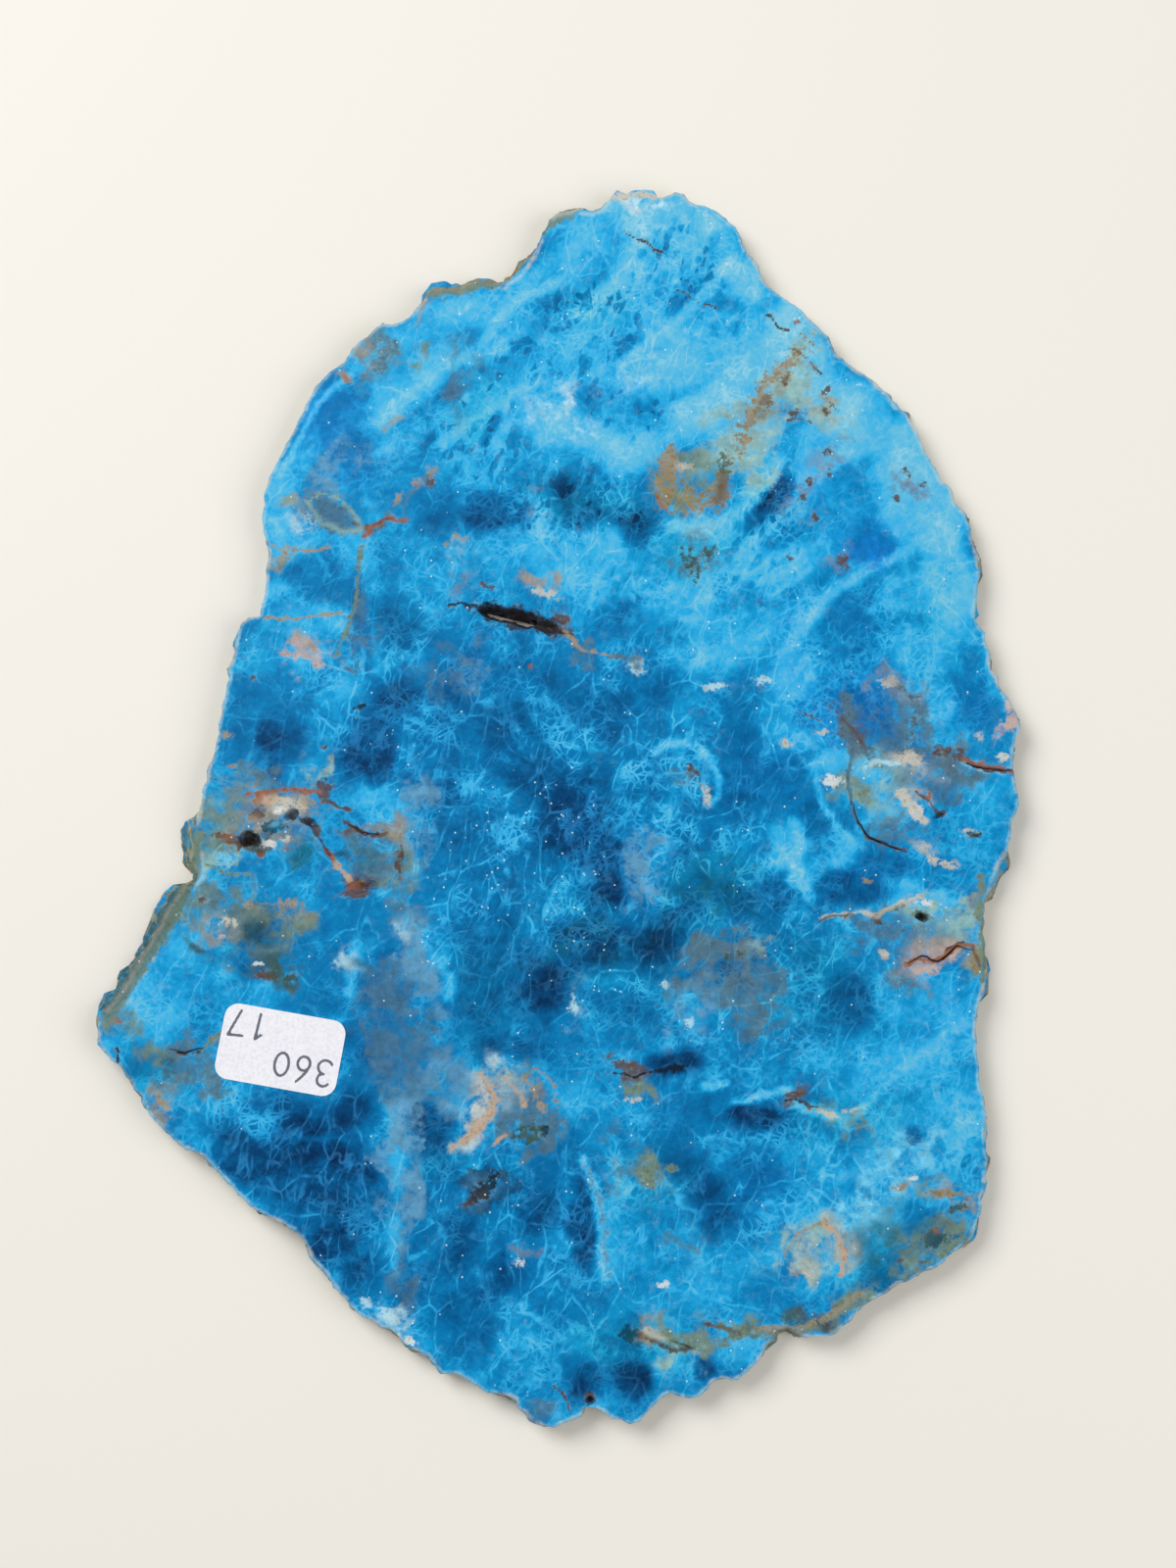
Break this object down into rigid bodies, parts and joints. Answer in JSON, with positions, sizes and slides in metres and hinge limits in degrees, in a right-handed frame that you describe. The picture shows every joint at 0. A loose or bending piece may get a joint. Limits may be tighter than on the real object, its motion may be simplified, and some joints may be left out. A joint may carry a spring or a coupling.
{
  "type": "apatite slab",
  "caption": "Thin slab of rough blue apatite, sawn flat on both faces, with its natural rind, an open slot and a small paper sticker.",
  "frame": {"origin": "on the sawn back face that the slab lies on, under the middle of its outline's box", "axes": "+Z out of the sawn face that looks up, +Y along the slab's length from its foot to its crest, +X across it"},
  "size_m": [0.148, 0.2008, 0.0047],
  "materials": {
    "apatite": "sawn face, semi-matt with small glints, mottled azure, deep blue and milky cyan with rust, tan and grey-green veins; rough olive-brown and white rind",
    "paper": "matt white self-adhesive paper with plain pen figures"
  },
  "bodies": {
    "root": {"apatite_slab": "apatite", "price_sticker": "paper"}
  },
  "joints": []
}
